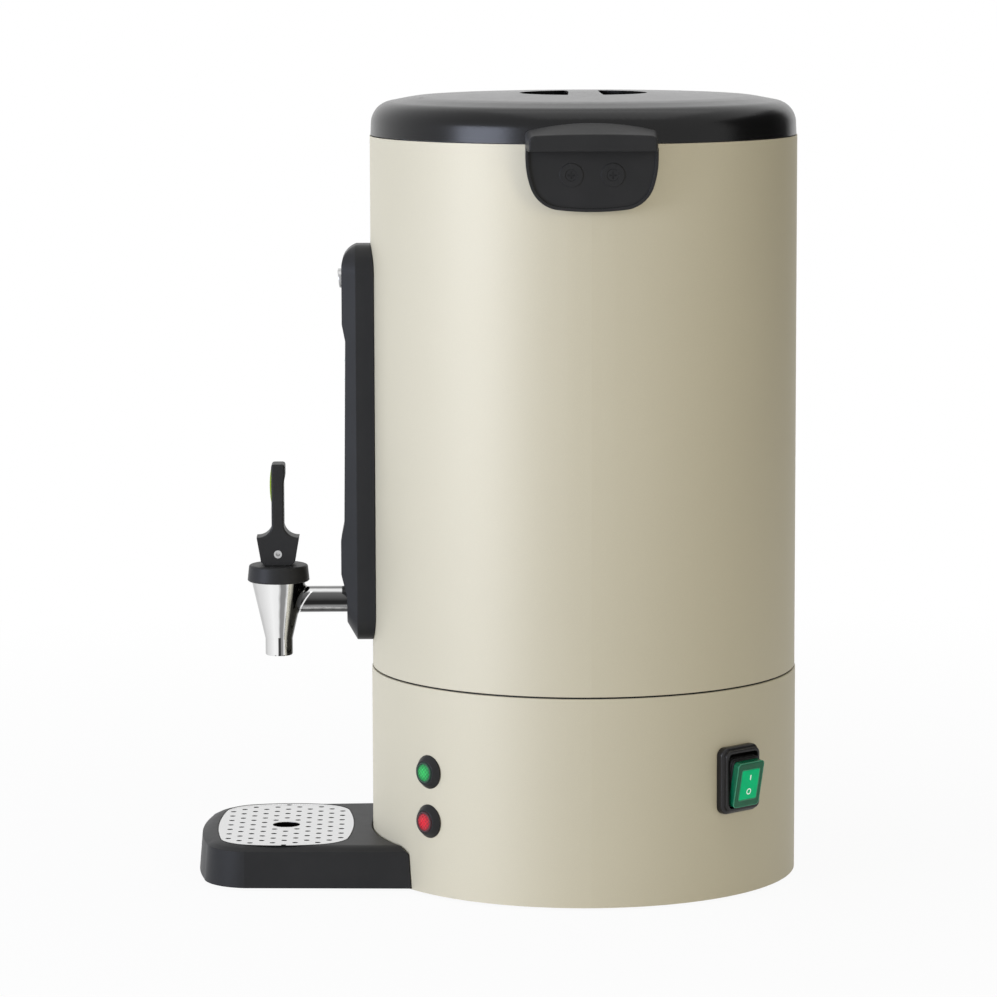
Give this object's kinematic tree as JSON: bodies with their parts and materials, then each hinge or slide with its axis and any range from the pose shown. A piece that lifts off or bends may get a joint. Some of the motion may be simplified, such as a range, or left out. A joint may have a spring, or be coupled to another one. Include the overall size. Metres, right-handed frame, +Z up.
{
  "type": "coffee urn",
  "caption": "Cylindrical percolating coffee urn with a lever tap and sight gauge, drip tray, side handles, twist-lock lid, rocker switch and pilot lamps.",
  "frame": {"origin": "on the drum's axis, at the surface that the urn stands on", "axes": "+Z up along the drum's axis, the tap and the drip tray towards -Y, the side handles towards +X and -X, the switch and the pilot lamps on the +X side"},
  "size_m": [0.308, 0.3755, 0.4885],
  "materials": {
    "shell_paint": "champagne satin",
    "bare_steel": "satin",
    "grate_steel": "satin",
    "screw_steel": "satin",
    "dark_screw": "black",
    "chrome": "polished",
    "plaque": "satin",
    "heater_aluminium": "cast",
    "nut_brass": "satin",
    "black_plastic": "satin",
    "switch_black": "semi-gloss",
    "white_plastic": "matt",
    "lime_plastic": "satin",
    "green_boot": "translucent",
    "green_lens": "translucent",
    "red_lens": "translucent",
    "black_rubber": "matt",
    "grey_silicone": "matt",
    "glass": "clear",
    "phenolic": "matt"
  },
  "bodies": {
    "urn": {"base_shell": "shell_paint", "base_plate": "bare_steel", "foot_front_right": "black_rubber", "foot_rear_right": "black_rubber", "foot_rear_left": "black_rubber", "foot_front_left": "black_rubber", "tie_rods": "screw_steel", "tie_nuts": "screw_steel", "seam_gasket": "black_rubber", "outer_shell": "shell_paint", "inner_vessel": "bare_steel", "rim_collar": "bare_steel", "heater_plate": "heater_aluminium", "boiling_element": "bare_steel", "keep_warm_element": "bare_steel", "thermostat": "phenolic", "boil_dry_cutout": "phenolic", "terminal_block": "white_plastic", "cord_grommet": "black_rubber", "lamp_green_body": "black_plastic", "lamp_green_lens": "green_lens", "lamp_red_body": "black_plastic", "lamp_red_lens": "red_lens", "switch_frame": "switch_black", "switch_housing": "switch_black", "handle_right": "black_plastic", "handle_left": "black_plastic", "handle_screws": "dark_screw", "handle_nut_plates": "screw_steel", "fascia": "black_plastic", "badge_plate": "plaque", "gauge_body": "black_plastic", "gauge_seal": "grey_silicone", "sight_glass": "glass", "gauge_cap": "black_plastic", "fascia_screws": "screw_steel", "tap_body": "chrome", "tap_seal": "black_rubber", "tap_gasket": "grey_silicone", "tap_nut": "nut_brass", "tap_bonnet": "black_plastic", "tap_spring": "bare_steel"},
    "switch_key": {"rocker": "white_plastic", "rocker_boot": "green_boot", "switch_skirt": "black_rubber"},
    "valve": {"tap_stem": "bare_steel", "lever_pin": "bare_steel", "seat_cup": "grey_silicone"},
    "lever": {"tap_lever": "black_plastic", "lever_insert": "lime_plastic"},
    "seal_ring": {"lid_seal": "grey_silicone"},
    "lid": {"lid_cover": "black_plastic", "lid_liner": "bare_steel", "lid_screws": "screw_steel"},
    "percolator": {"riser_tube": "bare_steel", "pump_foot": "bare_steel"},
    "basket": {"coffee_basket": "bare_steel"},
    "basket_lid": {"basket_cover": "bare_steel"},
    "tray": {"tray_body": "black_plastic"},
    "grate": {"tray_grate": "grate_steel"}
  },
  "joints": [
    {"name": "lid_lift", "type": "slide", "parent": "urn", "child": "seal_ring", "axis": [0, 0, 1], "range_m": [0, 0.56]},
    {"name": "lid_turn", "type": "hinge", "parent": "seal_ring", "child": "lid", "pos_m": [0, 0, 0.4615], "axis": [0, 0, 1], "range_deg": [0, 25]},
    {"name": "percolator_lift", "type": "slide", "parent": "urn", "child": "percolator", "axis": [0, 0, 1], "range_m": [0, 0.336]},
    {"name": "basket_lift", "type": "slide", "parent": "percolator", "child": "basket", "axis": [0, 0, 1], "range_m": [0, 0.126]},
    {"name": "basket_cover_lift", "type": "slide", "parent": "basket", "child": "basket_lid", "axis": [0, 0, 1], "range_m": [0, 0.042]},
    {"name": "tap_stem_lift", "type": "slide", "parent": "urn", "child": "valve", "axis": [0, 0, 1], "range_m": [0, 0.00474], "stiffness_N_per_m": 300, "springref_m": -0.003, "deforming": ["tap_spring"]},
    {"name": "lever_tilt", "type": "hinge", "parent": "valve", "child": "lever", "pos_m": [0, -0.1914, 0.2008], "axis": [1, 0, 0], "range_deg": [0, 40]},
    {"name": "switch_rock", "type": "hinge", "parent": "urn", "child": "switch_key", "pos_m": [0.09742, 0.08833, 0.0741], "axis": [0.6717, -0.7408, 0], "range_deg": [0, 21]},
    {"name": "tray_slide", "type": "slide", "parent": "urn", "child": "tray", "axis": [0, -1, 0], "range_m": [0, 0.12]},
    {"name": "grate_lift", "type": "slide", "parent": "tray", "child": "grate", "axis": [0, 0, 1], "range_m": [0, 0.05]}
  ],
  "couplings": [
    {"joint": "percolator_lift", "follows": "lid_lift", "ratio": 0.6},
    {"joint": "basket_lift", "follows": "lid_lift", "ratio": 0.225},
    {"joint": "basket_cover_lift", "follows": "lid_lift", "ratio": 0.075},
    {"joint": "lever_tilt", "follows": "tap_stem_lift", "rad_per_m": 147.06}
  ]
}
